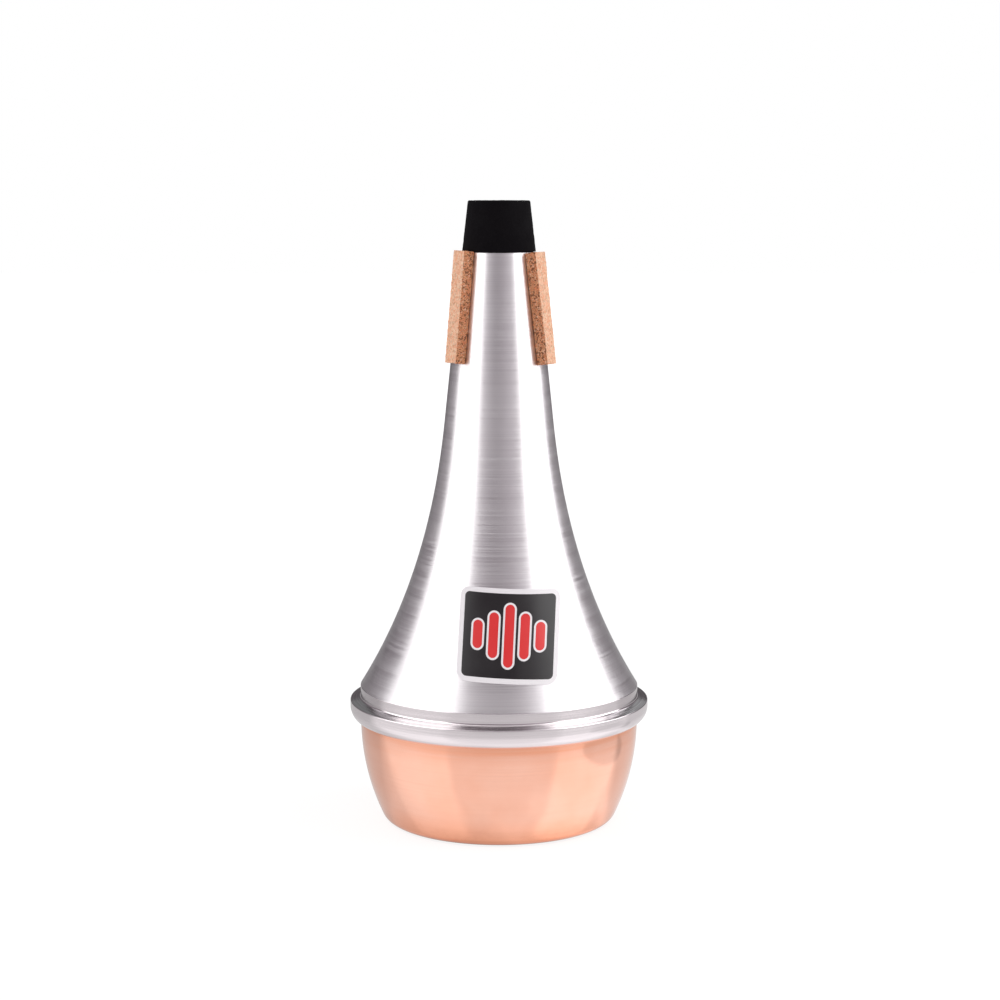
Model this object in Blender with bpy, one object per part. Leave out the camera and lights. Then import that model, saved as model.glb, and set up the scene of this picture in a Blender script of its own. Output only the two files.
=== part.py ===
"""A trombone straight mute.

A spun aluminium cone is rolled at its rim over the flared lip of a spun copper bowl. A black end sleeve
is glued into the narrow end, and three cork strips on the flank hold the mute in the bell.

Metres, +Z up. The origin is the middle of the flat that the mute stands on, and the front faces -Y.
"""

import math

import bmesh
import bpy
from mathutils import Vector

# Fits between pieces
SEAT_GAP = 0.0003

# Cone shell, spun from aluminium sheet: radii and slopes are those of its outer face
CONE_WALL = 0.0010
THROAT_RADIUS = 0.0160
TAPER_SLOPE = 0.105
TAPER_LENGTH = 0.0650
CONE_LENGTH = 0.1893
BODY_RADIUS = 0.0610
FLARE_SLOPE = 0.62
FLARE_TOP_PULL = 0.0186
FLARE_FOOT_PULL = 0.0520

# Shoulder, upright band and flange at the foot of the cone
SHOULDER_ROUND = 0.0004
BAND_HEIGHT = 0.0049
BAND_FILLET = 0.0010
FLANGE_DROP = 0.0012

# Rolled rim: it stands out past the band, drops straight, then curls in under the bowl's lip
RIM_OVERHANG = 0.0045
RIM_EDGE_ROUND = 0.0004
RIM_WALL_HEIGHT = 0.0026
CURL_RADIUS = 0.0062
CURL_REACH = 0.0046

# Base bowl, spun from copper sheet: radii are those of its outer face
BOWL_WALL = 0.0008
BOWL_DEPTH = 0.0456
BOWL_BASE_INSET = 0.0145
BOWL_CORNER_RADIUS = 0.0058
BOWL_SIDE_RADIUS = 0.0970
LIP_BEND_RADIUS = 0.0003

# End sleeve, moulded: it goes on from the cone's face, and its spigot sits inside the throat
SLEEVE_LENGTH = 0.0221
SLEEVE_NARROWING = 0.0025
SLEEVE_WALL = 0.0020
SLEEVE_EDGE_ROUND = 0.0007
SPIGOT_LENGTH = 0.0080
SPIGOT_WALL = 0.0014

# Cork strips: the direction of each, turned from the front towards +X, how far its foot leans the same
# way, and how far its top end stands above the cone's top edge
CORK_WIDTH = 0.0082
CORK_THICKNESS = 0.0047
CORK_LENGTH = 0.0482
CORK_EDGE_ROUND = 0.0004
CORK_PLACES = {
    "cork_strip_left": {"turn_deg": -54.2, "lean_deg": 1.0, "rise": 0.0006},
    "cork_strip_right": {"turn_deg": 59.4, "lean_deg": 4.5, "rise": 0.0},
    "cork_strip_back": {"turn_deg": 180.0, "lean_deg": 0.0, "rise": 0.0003},
}

# Fineness of the mesh: steps round the axis, and points along each round
RING_STEPS = 60
FLARE_STEPS = 14
BOWL_STEPS = 5
CURL_STEPS = 6
FILLET_STEPS = 2
CORK_STATIONS = 7
CORK_STEPS_ACROSS = 4
CORK_EDGE_STEPS = 2
MERGE_DISTANCE = 0.00001

# Edges that turn more than this are shaded as edges, or softened on the cork
SHADED_EDGE_DEG = 35.0
SOFTENED_EDGE_DEG = 40.0

# Sizes that follow from the ones above
RIM_RADIUS = BODY_RADIUS + RIM_OVERHANG
BOWL_MOUTH_RADIUS = RIM_RADIUS - CURL_REACH
CURL_INNER_RADIUS = CURL_RADIUS - CONE_WALL
CURL_END = math.acos((CURL_RADIUS - CURL_REACH + SEAT_GAP) / CURL_INNER_RADIUS)
CURL_CENTRE = Vector((RIM_RADIUS - CURL_RADIUS, BOWL_DEPTH + CURL_RADIUS * math.sin(CURL_END)))
EDGE_HEIGHT = CURL_CENTRE.y + RIM_WALL_HEIGHT
BAND_FOOT_HEIGHT = EDGE_HEIGHT + FLANGE_DROP
SHOULDER_HEIGHT = BAND_FOOT_HEIGHT + BAND_HEIGHT
THROAT_HEIGHT = SHOULDER_HEIGHT + CONE_LENGTH
TIP_HEIGHT = THROAT_HEIGHT + SLEEVE_LENGTH

# Directions of the straight taper: down the cone's face, and out of it
TAPER_DOWN = Vector((TAPER_SLOPE, -1.0)).normalized()
TAPER_OUT = Vector((-TAPER_DOWN.y, TAPER_DOWN.x))


# Outlines: each point is (radius, height), and a corner may carry the radius that rounds it
def arc(centre, radius, start, end, steps):
    """Points of a circle from one angle to another, both ends included."""
    angles = [start + (end - start) * i / steps for i in range(steps + 1)]
    return [centre + radius * Vector((math.cos(a), math.sin(a))) for a in angles]


def bezier(start, start_pull, end_pull, end, steps):
    """Points of a cubic curve, both ends included."""
    points = []
    for i in range(steps + 1):
        t = i / steps
        s = 1.0 - t
        points.append(s**3 * start + 3 * s * s * t * start_pull + 3 * s * t * t * end_pull + t**3 * end)
    return points


def sharp(points):
    """The points as corners that stay as they are."""
    return [(point, 0.0) for point in points]


def thickened(corners, wall):
    """The same outline moved to its right by the wall, with each round kept concentric."""
    points = [point for point, _ in corners]
    ways = [(b - a).normalized() for a, b in zip(points, points[1:])]
    moved = []
    for i, (point, radius) in enumerate(corners):
        before = ways[max(i - 1, 0)]
        after = ways[min(i, len(ways) - 1)]
        right = Vector((before.y + after.y, -before.x - after.x)).normalized()
        mitre = wall / right.dot(Vector((after.y, -after.x)))
        turns_right = before.cross(after) < 0.0
        round_radius = max(radius - wall, 0.0) if turns_right else radius + wall
        moved.append((point + right * mitre, round_radius if radius > 0.0 else 0.0))
    return moved


def rounded(corners, closed=False):
    """Plain points, with each corner that carries a radius replaced by its arc."""
    points = [point for point, _ in corners]
    count = len(points)
    smooth = []
    for i, (point, radius) in enumerate(corners):
        at_an_end = not closed and i in (0, count - 1)
        if radius <= 0.0 or at_an_end:
            smooth.append(point)
            continue
        back = (points[i - 1] - point).normalized()
        ahead = (points[(i + 1) % count] - point).normalized()
        half_angle = back.angle(ahead) / 2.0
        centre = point + (back + ahead).normalized() * radius / math.sin(half_angle)
        first = point + back * radius / math.tan(half_angle) - centre
        turn = math.copysign(math.pi - 2.0 * half_angle, -back.cross(ahead))
        start = math.atan2(first.y, first.x)
        smooth += arc(centre, radius, start, start + turn, FILLET_STEPS)
    return smooth


def flare_points():
    """The cone's outer face from the end of the straight taper down to the shoulder."""
    top = Vector((THROAT_RADIUS, THROAT_HEIGHT)) + TAPER_LENGTH * Vector((TAPER_SLOPE, -1.0))
    shoulder = Vector((BODY_RADIUS, SHOULDER_HEIGHT))
    top_pull = top + FLARE_TOP_PULL * Vector((TAPER_SLOPE, -1.0))
    foot_pull = shoulder + FLARE_FOOT_PULL * Vector((-FLARE_SLOPE, 1.0))
    return bezier(top, top_pull, foot_pull, shoulder, FLARE_STEPS)


def cone_corners():
    """The cone shell's outer face, from the throat down to the end of the curl."""
    flank = [Vector((THROAT_RADIUS, THROAT_HEIGHT))] + flare_points()
    curl = arc(CURL_CENTRE, CURL_RADIUS, 0.0, -CURL_END, CURL_STEPS)
    corners = sharp(flank[:-1])
    corners.append((flank[-1], SHOULDER_ROUND))
    corners.append((Vector((BODY_RADIUS, BAND_FOOT_HEIGHT)), BAND_FILLET))
    corners.append((Vector((RIM_RADIUS, EDGE_HEIGHT)), RIM_EDGE_ROUND))
    return corners + sharp(curl)


def flange_underside(radius):
    """Height of the flange's lower face at a radius."""
    slope = FLANGE_DROP / RIM_OVERHANG
    top_face = EDGE_HEIGHT + slope * (RIM_RADIUS - radius)
    return top_face - CONE_WALL * math.hypot(1.0, slope)


def bowl_corners():
    """The bowl's outer face, from the top of its lip down to the middle of its base."""
    lip_radius = CURL_INNER_RADIUS - SEAT_GAP
    lip_edge = CURL_CENTRE.x + lip_radius
    lip_top = Vector((lip_edge, flange_underside(lip_edge) - SEAT_GAP))
    bend = math.acos((BOWL_MOUTH_RADIUS - CURL_CENTRE.x) / lip_radius)
    lip = arc(CURL_CENTRE, lip_radius, 0.0, -bend, CURL_STEPS)

    mouth = Vector((BOWL_MOUTH_RADIUS, BOWL_DEPTH))
    corner_centre = Vector((BOWL_MOUTH_RADIUS - BOWL_BASE_INSET, BOWL_CORNER_RADIUS))
    side_centre = inner_tangent_centre(mouth, BOWL_SIDE_RADIUS, corner_centre, BOWL_CORNER_RADIUS)
    to_mouth = mouth - side_centre
    to_corner = corner_centre - side_centre
    start = math.atan2(to_mouth.y, to_mouth.x)
    meet = math.atan2(to_corner.y, to_corner.x)
    side = arc(side_centre, BOWL_SIDE_RADIUS, start, meet, BOWL_STEPS)
    corner = arc(corner_centre, BOWL_CORNER_RADIUS, meet, -math.pi / 2.0, BOWL_STEPS)

    corners = sharp([lip_top] + lip[:-1])
    corners.append((lip[-1], LIP_BEND_RADIUS))
    return corners + sharp(side[:-1] + corner + [Vector((0.0, 0.0))])


def inner_tangent_centre(point, radius, small_centre, small_radius):
    """Centre of the circle that passes a point and touches a smaller circle from outside it."""
    to_small = small_centre - point
    gap = to_small.length
    other = radius - small_radius
    along = (radius**2 - other**2 + gap**2) / (2.0 * gap)
    aside = math.sqrt(radius**2 - along**2)
    way = to_small / gap
    return point + along * way + aside * Vector((way.y, -way.x))


def sleeve_corners():
    """The whole section of the end sleeve, starting at the tip and going down its outer face."""
    tip_radius = THROAT_RADIUS - SLEEVE_NARROWING
    shoulder_height = THROAT_HEIGHT + SEAT_GAP
    narrowing_slope = SLEEVE_NARROWING / SLEEVE_LENGTH
    shoulder_radius = THROAT_RADIUS - narrowing_slope * SEAT_GAP
    throat_wall = (CONE_WALL + SEAT_GAP) / TAPER_OUT.x
    spigot_top = THROAT_RADIUS - throat_wall - TAPER_SLOPE * SEAT_GAP
    spigot_foot = THROAT_RADIUS - throat_wall + TAPER_SLOPE * SPIGOT_LENGTH
    foot_height = THROAT_HEIGHT - SPIGOT_LENGTH
    return [
        (Vector((tip_radius, TIP_HEIGHT)), SLEEVE_EDGE_ROUND),
        (Vector((shoulder_radius, shoulder_height)), 0.0),
        (Vector((spigot_top, shoulder_height)), 0.0),
        (Vector((spigot_foot, foot_height)), 0.0),
        (Vector((spigot_foot - SPIGOT_WALL, foot_height)), 0.0),
        (Vector((spigot_top - SPIGOT_WALL, shoulder_height)), 0.0),
        (Vector((tip_radius - SLEEVE_WALL, TIP_HEIGHT)), SLEEVE_EDGE_ROUND),
    ]


# Pieces
def material(name, colour, roughness, metallic):
    """A Principled material."""
    made = bpy.data.materials.new(name)
    made.use_nodes = True
    shader = made.node_tree.nodes["Principled BSDF"]
    shader.inputs["Base Color"].default_value = (*colour, 1.0)
    shader.inputs["Roughness"].default_value = roughness
    shader.inputs["Metallic"].default_value = metallic
    return made


def placed(name, mesh, finish, parent):
    """An object for the mesh, with its finish, under the parent."""
    made = bpy.data.objects.new(name, mesh)
    made.data.materials.append(finish)
    made.parent = parent
    bpy.context.collection.objects.link(made)
    return made


def settled(piece):
    """Turn the modifiers into mesh, shaded smooth but for the sharp edges."""
    graph = bpy.context.evaluated_depsgraph_get()
    mesh = bpy.data.meshes.new_from_object(piece.evaluated_get(graph))
    piece.modifiers.clear()
    piece.data = mesh
    mesh.name = piece.name
    mesh.shade_smooth()
    mesh.set_sharp_from_angle(angle=math.radians(SHADED_EDGE_DEG))
    return piece


def turned(name, outline, closed, finish, parent):
    """A piece of spun or moulded work: the outline turned once round the axis."""
    edges = [(i, i + 1) for i in range(len(outline) - 1)]
    if closed:
        edges.append((len(outline) - 1, 0))
    mesh = bpy.data.meshes.new(name)
    mesh.from_pydata([(point.x, 0.0, point.y) for point in outline], edges, [])
    piece = placed(name, mesh, finish, parent)
    screw = piece.modifiers.new("Turn", "SCREW")
    screw.axis = "Z"
    screw.steps = RING_STEPS
    screw.render_steps = RING_STEPS
    screw.use_merge_vertices = True
    screw.merge_threshold = MERGE_DISTANCE
    return settled(piece)


def cone_shell(finish, parent):
    """The aluminium body, open at the throat and rolled in at the rim."""
    corners = cone_corners()
    inner_face = rounded(thickened(corners, CONE_WALL))
    outline = rounded(corners) + inner_face[::-1]
    return turned("cone_shell", outline, True, finish, parent)


def base_bowl(finish, parent):
    """The copper bowl, whose flared lip is held inside the rolled rim."""
    corners = bowl_corners()
    inner_face = rounded(thickened(corners, BOWL_WALL))
    inner_face[-1].x = 0.0
    outline = inner_face[::-1] + rounded(corners)
    return turned("base_bowl", outline, False, finish, parent)


def end_sleeve(finish, parent):
    """The black end piece, open through its middle."""
    return turned("end_sleeve", rounded(sleeve_corners(), closed=True), True, finish, parent)


def flank_at(distance):
    """Point and outward direction of the cone's outer face, at a distance down it from the throat."""
    throat = Vector((THROAT_RADIUS, THROAT_HEIGHT))
    flare = flare_points()
    along = distance - (flare[0] - throat).length
    if along <= 0.0:
        return throat + distance * TAPER_DOWN, TAPER_OUT
    for upper, lower in zip(flare, flare[1:]):
        step = (lower - upper).length
        if along <= step:
            break
        along -= step
    down = (lower - upper).normalized()
    return upper + along * down, Vector((-down.y, down.x))


def cork_strip(name, turn_deg, lean_deg, rise, finish, parent):
    """A cork strip that lies along the flank, hollowed beneath to sit on the round of the cone."""
    shape = bmesh.new()
    offsets = [CORK_WIDTH * (i / CORK_STEPS_ACROSS - 0.5) for i in range(CORK_STEPS_ACROSS + 1)]
    rings = []
    for station in range(CORK_STATIONS + 1):
        share = station / CORK_STATIONS
        foot, out = flank_at(share * CORK_LENGTH - rise)
        turn = math.radians(lean_deg) * (share - 0.5)
        away = Vector((math.sin(turn), -math.cos(turn), 0.0))
        aside = Vector((math.cos(turn), math.sin(turn), 0.0))
        normal = away * out.x + Vector((0.0, 0.0, out.y))
        centre = away * foot.x + Vector((0.0, 0.0, foot.y))
        bend = foot.x / out.x + SEAT_GAP
        sunk = [SEAT_GAP - bend + math.sqrt(bend * bend - s * s) for s in offsets]
        inner = [centre + s * aside + depth * normal for s, depth in zip(offsets, sunk)]
        top = centre + (SEAT_GAP + CORK_THICKNESS) * normal
        outer = [top + offsets[-1] * aside, top + offsets[0] * aside]
        rings.append([shape.verts.new(point) for point in inner + outer])
    for upper, lower in zip(rings, rings[1:]):
        for i in range(len(upper)):
            shape.faces.new((upper[i - 1], upper[i], lower[i], lower[i - 1]))
    shape.faces.new(rings[0][::-1])
    shape.faces.new(rings[-1])
    bmesh.ops.recalc_face_normals(shape, faces=shape.faces)
    mesh = bpy.data.meshes.new(name)
    shape.to_mesh(mesh)
    shape.free()

    piece = placed(name, mesh, finish, parent)
    piece.rotation_euler.z = math.radians(turn_deg)
    bevel = piece.modifiers.new("Softened edges", "BEVEL")
    bevel.width = CORK_EDGE_ROUND
    bevel.segments = CORK_EDGE_STEPS
    bevel.limit_method = "ANGLE"
    bevel.angle_limit = math.radians(SOFTENED_EDGE_DEG)
    return settled(piece)


def main():
    for leftover in list(bpy.data.objects):
        bpy.data.objects.remove(leftover)
    mute = bpy.data.objects.new("mute", None)
    bpy.context.collection.objects.link(mute)

    aluminium = material("aluminium", (0.62, 0.60, 0.62), 0.28, 1.0)
    copper = material("copper", (0.90, 0.48, 0.34), 0.30, 1.0)
    black = material("black_rubber", (0.010, 0.009, 0.010), 0.85, 0.0)
    cork = material("cork", (0.72, 0.42, 0.27), 0.90, 0.0)

    cone_shell(aluminium, mute)
    base_bowl(copper, mute)
    end_sleeve(black, mute)
    for name, place in CORK_PLACES.items():
        cork_strip(name, place["turn_deg"], place["lean_deg"], place["rise"], cork, mute)


main()
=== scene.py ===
# %% [markdown]
# # A straight mute for a trombone
#
# The mute is a hollow body that a player pushes into the bell of the trombone. Four kinds of work meet
# in it: an aluminium cone spun on a lathe, a copper bowl spun on the same lathe, a black end sleeve
# moulded to fit the throat, and three strips of cork that grip the bell.
#
# The CAD model gives each piece its place and its true size. This file gives each one the fine mesh and
# the finish that a close look asks for. It goes piece by piece, and then sets up the studio.

# %% Load the CAD model
import math

import bpy
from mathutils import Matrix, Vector


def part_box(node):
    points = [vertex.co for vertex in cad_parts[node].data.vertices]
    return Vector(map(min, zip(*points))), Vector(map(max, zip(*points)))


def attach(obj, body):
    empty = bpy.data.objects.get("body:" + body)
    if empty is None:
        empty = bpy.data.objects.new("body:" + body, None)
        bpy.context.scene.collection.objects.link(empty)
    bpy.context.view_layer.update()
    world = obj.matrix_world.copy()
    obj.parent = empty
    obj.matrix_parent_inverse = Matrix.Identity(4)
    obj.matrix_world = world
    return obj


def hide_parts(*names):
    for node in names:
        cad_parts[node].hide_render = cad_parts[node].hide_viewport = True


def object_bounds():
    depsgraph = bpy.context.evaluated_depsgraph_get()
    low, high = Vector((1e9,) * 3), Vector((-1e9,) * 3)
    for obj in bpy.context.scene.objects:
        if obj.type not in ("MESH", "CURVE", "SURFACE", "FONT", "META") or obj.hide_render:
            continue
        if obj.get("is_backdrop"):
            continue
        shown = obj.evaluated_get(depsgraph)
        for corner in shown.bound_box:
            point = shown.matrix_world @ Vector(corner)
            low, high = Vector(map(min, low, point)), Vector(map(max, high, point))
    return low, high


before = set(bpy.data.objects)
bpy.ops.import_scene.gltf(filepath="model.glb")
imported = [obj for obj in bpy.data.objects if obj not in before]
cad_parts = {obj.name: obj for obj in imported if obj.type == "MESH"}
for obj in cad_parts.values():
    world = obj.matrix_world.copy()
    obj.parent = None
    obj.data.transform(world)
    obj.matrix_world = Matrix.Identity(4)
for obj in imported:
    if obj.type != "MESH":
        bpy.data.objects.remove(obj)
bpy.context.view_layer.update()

print("CAD nodes:", ", ".join(sorted(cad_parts)))

# %% [markdown]
# ## The camera
#
# A long lens a metre away, a little above the mute and tipped down, sees the rim as a shallow ellipse.
# How open it is fixes the tip, and how fast the flanks run together fixes the distance. The axis lies a
# hair to the left of the picture's middle, which the shift gives without turning the camera.

# %% Camera
EYE = Vector((0.0, -1.0, 0.2798))
TIPPED_DOWN_DEG = 7.87
LENS_MM = 83.2
AXIS_SHIFT = 0.001

bpy.ops.object.camera_add(location=EYE, rotation=(math.radians(90.0 - TIPPED_DOWN_DEG), 0.0, 0.0))
camera = bpy.context.object
camera.data.lens = LENS_MM
camera.data.shift_x = AXIS_SHIFT
bpy.context.scene.camera = camera
print("Camera at", tuple(round(x, 3) for x in EYE), "with a lens of", LENS_MM, "mm")

# %% [markdown]
# ## Outlines for turned work
#
# Whatever comes off a lathe is an outline turned round an axis, so each of the three turned pieces is
# an outline first: a list of points, each a radius and a height. Corners carry the radius that rounds
# them. Sheet metal is equally thick all along, so its inner face is the outer one moved inwards by the
# wall. On a bend both faces share one centre, as they do in a real bent sheet.

# %% Outline helpers
ROUND_STEPS = 6


def arc(centre, radius, start, end, steps):
    """Points of a circle from one angle to another, both ends included."""
    angles = [start + (end - start) * i / steps for i in range(steps + 1)]
    return [centre + radius * Vector((math.cos(a), math.sin(a))) for a in angles]


def bezier(start, start_pull, end_pull, end, steps):
    """Points of a cubic curve, both ends included."""
    points = []
    for i in range(steps + 1):
        t = i / steps
        s = 1.0 - t
        points.append(s**3 * start + 3 * s * s * t * start_pull + 3 * s * t * t * end_pull + t**3 * end)
    return points


def sharp(points):
    """The points as corners that stay as they are."""
    return [(point, 0.0) for point in points]


def thickened(corners, wall):
    """The outline moved to its right by the wall, with each round kept concentric."""
    points = [point for point, _ in corners]
    ways = [(b - a).normalized() for a, b in zip(points, points[1:])]
    moved = []
    for i, (point, radius) in enumerate(corners):
        before = ways[max(i - 1, 0)]
        after = ways[min(i, len(ways) - 1)]
        right = Vector((before.y + after.y, -before.x - after.x)).normalized()
        mitre = wall / right.dot(Vector((after.y, -after.x)))
        turns_right = before.cross(after) < 0.0
        round_radius = max(radius - wall, 0.0) if turns_right else radius + wall
        moved.append((point + right * mitre, round_radius if radius > 0.0 else 0.0))
    return moved


def rounded(corners, closed=False, hold=0.0):
    """Plain points, with each corner that carries a radius replaced by its arc, held flat beside it."""
    points = [point for point, _ in corners]
    smooth = []
    for i, (point, radius) in enumerate(corners):
        at_an_end = not closed and i in (0, len(points) - 1)
        if radius <= 0.0 or at_an_end:
            smooth.append(point)
            continue
        back = (points[i - 1] - point).normalized()
        ahead = (points[(i + 1) % len(points)] - point).normalized()
        half_angle = back.angle(ahead) / 2.0
        centre = point + (back + ahead).normalized() * radius / math.sin(half_angle)
        reach = radius / math.tan(half_angle)
        first = point + back * reach - centre
        turn = math.copysign(math.pi - 2.0 * half_angle, -back.cross(ahead))
        start = math.atan2(first.y, first.x)
        bend = arc(centre, radius, start, start + turn, ROUND_STEPS)
        if hold > 0.0:
            bend = [point + back * (reach + hold)] + bend + [point + ahead * (reach + hold)]
        smooth += bend
    return smooth


# %% [markdown]
# ## From an outline to a piece
#
# The spin tool works as the lathe does: one point is extruded along the outline, and the line that it
# leaves is spun once round the axis. The spin leaves a seam where its end meets its start, and a heap of
# points wherever the outline touches the axis. Both are merged, and only then are the normals set to
# point out.

# %% Turning helper
RING_STEPS = 192
SEAM_MERGE = 0.000004
EDGE_ANGLE_DEG = 35.0


def start_piece(name):
    """Name the new primitive, which is the active object."""
    piece = bpy.context.object
    piece.name = name
    piece.data.name = name
    return piece


def finish_faces():
    """Close seams and poles, point all faces outwards, and shade them smooth between sharp edges."""
    bpy.ops.object.mode_set(mode="EDIT")
    bpy.ops.mesh.select_all(action="SELECT")
    bpy.ops.mesh.remove_doubles(threshold=SEAM_MERGE)
    bpy.ops.mesh.normals_make_consistent(inside=False)
    bpy.ops.object.mode_set(mode="OBJECT")
    bpy.ops.object.shade_smooth_by_angle(angle=math.radians(EDGE_ANGLE_DEG))


def turned(name, outline):
    """Spin the outline once round the axis."""
    bpy.ops.mesh.primitive_plane_add(size=0.001)
    piece = start_piece(name)
    bpy.ops.object.mode_set(mode="EDIT")
    bpy.ops.mesh.merge(type="CENTER")
    bpy.ops.transform.translate(value=(outline[0].x, 0.0, outline[0].y))
    for here, there in zip(outline, outline[1:]):
        step = there - here
        bpy.ops.mesh.extrude_vertices_move(TRANSFORM_OT_translate={"value": (step.x, 0.0, step.y)})
    bpy.ops.mesh.select_all(action="SELECT")
    bpy.ops.mesh.spin(steps=RING_STEPS, angle=math.tau, center=(0.0, 0.0, 0.0), axis=(0.0, 0.0, 1.0))
    finish_faces()
    print(name, "has", len(piece.data.polygons), "faces")
    return piece


def sink_by_noise(piece, name, kind, scale, depth):
    """Push the surface in by a noise, here more and there less. Returns the noise."""
    noise = bpy.data.textures.new(name, kind)
    noise.noise_scale = scale
    sink = piece.modifiers.new(name, "DISPLACE")
    sink.texture = noise
    sink.strength = depth
    sink.mid_level = 1.0
    return noise


def apply_modifiers(piece):
    """Turn every modifier of the piece into mesh, from the first to the last."""
    bpy.ops.object.select_all(action="DESELECT")
    piece.select_set(True)
    bpy.context.view_layer.objects.active = piece
    for modifier in list(piece.modifiers):
        bpy.ops.object.modifier_apply(modifier=modifier.name)


# %% [markdown]
# ## The cone shell
#
# The aluminium body is spun from one flat disc, so it is one skin with no seam: a straight taper where
# the corks sit, a flare, a crisp shoulder, a short upright band, a flange, and a rim that is rolled over
# the lip of the bowl. The flare is one cubic curve that leaves the taper without a kink. The roll is an
# arc that stops where the copper comes out. On the outer face each round has one more row of points on
# both sides, which keeps the flats beside it flat under smooth shading.

# %% Cone shell sizes
SEAT_GAP = 0.0003
CONE_WALL = 0.0010
THROAT_RADIUS = 0.0160
TAPER_SLOPE = 0.105
TAPER_LENGTH = 0.0650
CONE_LENGTH = 0.1893
BODY_RADIUS = 0.0610
FLARE_SLOPE = 0.62
FLARE_TOP_PULL = 0.0186
FLARE_FOOT_PULL = 0.0520
SHOULDER_ROUND = 0.0004
BAND_HEIGHT = 0.0049
BAND_FILLET = 0.0010
FLANGE_DROP = 0.0012
RIM_OVERHANG = 0.0045
RIM_EDGE_ROUND = 0.0004
RIM_WALL_HEIGHT = 0.0030
CURL_RADIUS = 0.0062
CURL_REACH = 0.0046
BOWL_DEPTH = 0.0452
FLARE_STEPS = 48
CURL_STEPS = 14
FLAT_HOLD = 0.00018

RIM_RADIUS = BODY_RADIUS + RIM_OVERHANG
BOWL_MOUTH_RADIUS = RIM_RADIUS - CURL_REACH
CURL_INNER_RADIUS = CURL_RADIUS - CONE_WALL
CURL_END = math.acos((CURL_RADIUS - CURL_REACH + SEAT_GAP) / CURL_INNER_RADIUS)
CURL_CENTRE = Vector((RIM_RADIUS - CURL_RADIUS, BOWL_DEPTH + CURL_RADIUS * math.sin(CURL_END)))
EDGE_HEIGHT = CURL_CENTRE.y + RIM_WALL_HEIGHT
BAND_FOOT_HEIGHT = EDGE_HEIGHT + FLANGE_DROP
SHOULDER_HEIGHT = BAND_FOOT_HEIGHT + BAND_HEIGHT
THROAT_HEIGHT = SHOULDER_HEIGHT + CONE_LENGTH
print("Rim", round(2000 * RIM_RADIUS, 1), "mm across, throat at", round(1000 * THROAT_HEIGHT, 1), "mm")


# %% Cone shell
def cone_corners():
    """The outer face, from the throat down to the end of the roll."""
    throat = Vector((THROAT_RADIUS, THROAT_HEIGHT))
    down = Vector((TAPER_SLOPE, -1.0))
    taper_foot = throat + TAPER_LENGTH * down
    shoulder = Vector((BODY_RADIUS, SHOULDER_HEIGHT))
    foot_pull = shoulder + FLARE_FOOT_PULL * Vector((-FLARE_SLOPE, 1.0))
    flare = bezier(taper_foot, taper_foot + FLARE_TOP_PULL * down, foot_pull, shoulder, FLARE_STEPS)
    bends = [
        (shoulder, SHOULDER_ROUND),
        (Vector((BODY_RADIUS, BAND_FOOT_HEIGHT)), BAND_FILLET),
        (Vector((RIM_RADIUS, EDGE_HEIGHT)), RIM_EDGE_ROUND),
    ]
    curl = arc(CURL_CENTRE, CURL_RADIUS, 0.0, -CURL_END, CURL_STEPS)
    return sharp([throat] + flare[:-1]) + bends + sharp(curl)


outer_face = rounded(cone_corners(), hold=FLAT_HOLD)
inner_face = rounded(thickened(cone_corners(), CONE_WALL))
cone_outline = outer_face + inner_face[::-1]
cone = turned("spun_cone", cone_outline + cone_outline[:1])

# %% [markdown]
# ## The bowl
#
# The bottom is a shallow copper bowl. Its flat stands on the table, a tight bend leads into a side that
# is one long arc, and at the mouth the sheet turns outwards into a lip. The lip lies inside the rolled
# rim and shares its centre. The side must run into the bend without a kink, so the centre of the long
# arc is worked out: it is where a circle through the mouth touches the circle of the bend.

# %% Bowl
BOWL_WALL = 0.0008
BOWL_BASE_INSET = 0.0145
BOWL_CORNER_RADIUS = 0.0058
BOWL_SIDE_RADIUS = 0.0970
LIP_BEND_RADIUS = 0.0003
SIDE_STEPS = 26
CORNER_STEPS = 16


def side_arc_centre(point, radius, small_centre, small_radius):
    """Centre of the circle that passes a point and touches a smaller circle from outside it."""
    to_small = small_centre - point
    gap = to_small.length
    other = radius - small_radius
    along = (radius**2 - other**2 + gap**2) / (2.0 * gap)
    aside = math.sqrt(radius**2 - along**2)
    way = to_small / gap
    return point + along * way + aside * Vector((way.y, -way.x))


def bowl_corners():
    """The outer face, from the top of the lip down to the middle of the flat."""
    lip_radius = CURL_INNER_RADIUS - SEAT_GAP
    lip_edge = CURL_CENTRE.x + lip_radius
    slope = FLANGE_DROP / RIM_OVERHANG
    flange_underside = EDGE_HEIGHT + slope * (RIM_RADIUS - lip_edge) - CONE_WALL * math.hypot(1.0, slope)
    lip_end = math.acos((BOWL_MOUTH_RADIUS - CURL_CENTRE.x) / lip_radius)
    lip = arc(CURL_CENTRE, lip_radius, 0.0, -lip_end, CURL_STEPS)
    mouth = Vector((BOWL_MOUTH_RADIUS, BOWL_DEPTH))
    corner_centre = Vector((BOWL_MOUTH_RADIUS - BOWL_BASE_INSET, BOWL_CORNER_RADIUS))
    side_centre = side_arc_centre(mouth, BOWL_SIDE_RADIUS, corner_centre, BOWL_CORNER_RADIUS)
    start = math.atan2(*(mouth - side_centre).yx)
    meet = math.atan2(*(corner_centre - side_centre).yx)
    side = arc(side_centre, BOWL_SIDE_RADIUS, start, meet, SIDE_STEPS)
    corner = arc(corner_centre, BOWL_CORNER_RADIUS, meet, -math.pi / 2.0, CORNER_STEPS)
    corners = sharp([Vector((lip_edge, flange_underside - SEAT_GAP))] + lip[:-1])
    corners.append((lip[-1], LIP_BEND_RADIUS))
    return corners + sharp(side[:-1] + corner + [Vector((0.0, 0.0))])


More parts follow.
